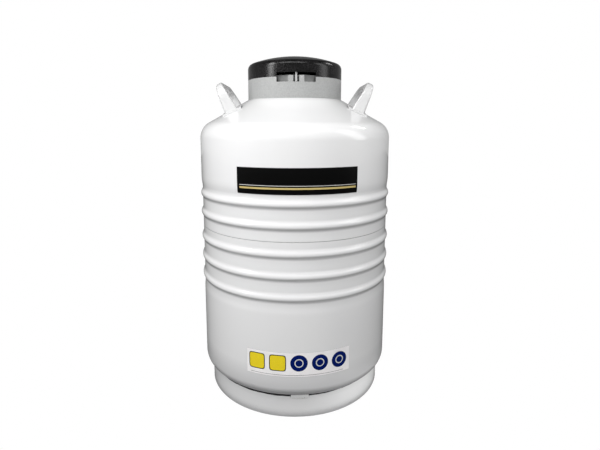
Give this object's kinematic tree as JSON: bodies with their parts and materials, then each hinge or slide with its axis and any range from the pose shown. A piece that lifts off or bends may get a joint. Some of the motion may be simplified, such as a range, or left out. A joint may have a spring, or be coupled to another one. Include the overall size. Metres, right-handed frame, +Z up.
{
  "type": "cryogenic storage vessel",
  "caption": "Ribbed, vacuum insulated liquid nitrogen storage vessel with arch handles, a grey collar and a lift-off lockable lid with a foam neck plug.",
  "frame": {"origin": "centre of the circle that the base ring stands on", "axes": "+Z up along the vessel's axis, lock and front band at -Y, handles at +X and -X"},
  "size_m": [0.3711, 0.3712, 0.641],
  "materials": {
    "white_coat": "gloss powder coat",
    "bare_aluminium": "mill finish",
    "grey_plastic": "fine moulded grain",
    "black_plastic": "fine moulded grain",
    "steel": "brushed",
    "fibreglass": "laminated tube",
    "foam": "closed cell foam",
    "foil": "crinkled foil wrap",
    "sorbent": "granules in a bag",
    "dark_film": "printed film",
    "pale_film": "printed film"
  },
  "bodies": {
    "vessel": {"base_clip_1": "white_coat", "base_clip_2": "white_coat", "base_clip_3": "white_coat", "base_ring": "white_coat", "canister_1": "steel", "canister_2": "steel", "canister_3": "steel", "canister_4": "steel", "canister_5": "steel", "canister_6": "steel", "canister_locator": "bare_aluminium", "canister_rod_1": "steel", "canister_rod_2": "steel", "canister_rod_3": "steel", "canister_rod_4": "steel", "canister_rod_5": "steel", "canister_rod_6": "steel", "collar_screws": "steel", "front_band": "dark_film", "handle_left": "white_coat", "handle_right": "white_coat", "index_ring": "grey_plastic", "inner_tank_lower": "bare_aluminium", "inner_tank_upper": "bare_aluminium", "insulation_blanket": "foil", "lower_strip": "pale_film", "neck_collar": "grey_plastic", "neck_flange": "bare_aluminium", "neck_tube": "fibreglass", "outer_shell_lower": "white_coat", "outer_shell_upper": "white_coat", "sorbent_cup": "bare_aluminium", "sorbent_pack": "sorbent", "tank_neck_ring": "bare_aluminium", "vacuum_port_cap": "black_plastic", "vacuum_port_plug": "black_plastic", "vacuum_port_tube": "bare_aluminium"},
    "lid": {"lid_cap": "black_plastic", "plug_disc": "black_plastic", "neck_plug": "foam", "lock_tongue": "steel"}
  },
  "joints": [
    {"name": "lid_lift", "type": "slide", "parent": "vessel", "child": "lid", "axis": [0, 0, 1], "range_m": [0, 0.2]}
  ]
}
